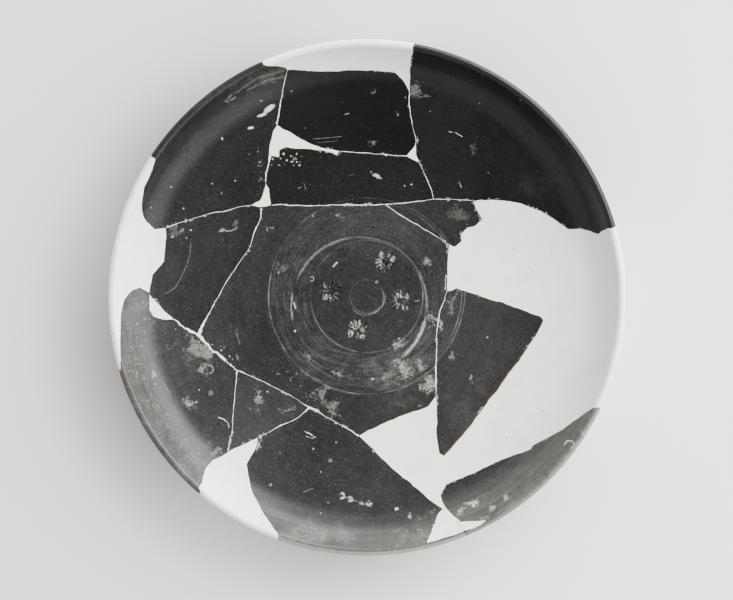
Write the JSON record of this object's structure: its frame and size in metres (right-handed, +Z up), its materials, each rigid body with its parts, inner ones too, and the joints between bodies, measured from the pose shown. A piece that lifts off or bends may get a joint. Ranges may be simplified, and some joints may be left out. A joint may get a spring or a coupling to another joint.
{
  "type": "patera",
  "caption": "Wide shallow black-gloss ceramic dish on a ring foot, with an incised and stamped medallion, mended from sherds with white plaster fills.",
  "frame": {"origin": "on the dish's axis, at the underside of its ring foot", "axes": "+Z up out of the open side; +Y towards the top plaster fill of the rim; +X towards the large plaster fill"},
  "size_m": [0.28, 0.28, 0.042],
  "materials": {
    "black_gloss": "worn black gloss slip with a soft sheen",
    "plaster": "smooth matte white plaster"
  },
  "bodies": {
    "root": {"sherd_upper_left": "black_gloss", "sherd_upper_middle": "black_gloss", "sherd_middle": "black_gloss", "sherd_upper_right": "black_gloss", "sherd_scalloped": "black_gloss", "sherd_centre": "black_gloss", "sherd_left": "black_gloss", "sherd_lower_left": "black_gloss", "sherd_small_triangle": "black_gloss", "sherd_bottom": "black_gloss", "sherd_right_triangle": "black_gloss", "sherd_lower_right": "black_gloss", "sherd_lip": "black_gloss", "fill_top_rim": "plaster", "fill_left_rim": "plaster", "fill_right": "plaster", "fill_lower_left": "plaster", "fill_bottom_rim": "plaster", "fill_left_notch": "plaster", "fill_upper_wedge": "plaster", "fill_west_junction": "plaster", "fill_east_junction": "plaster"}
  },
  "joints": []
}
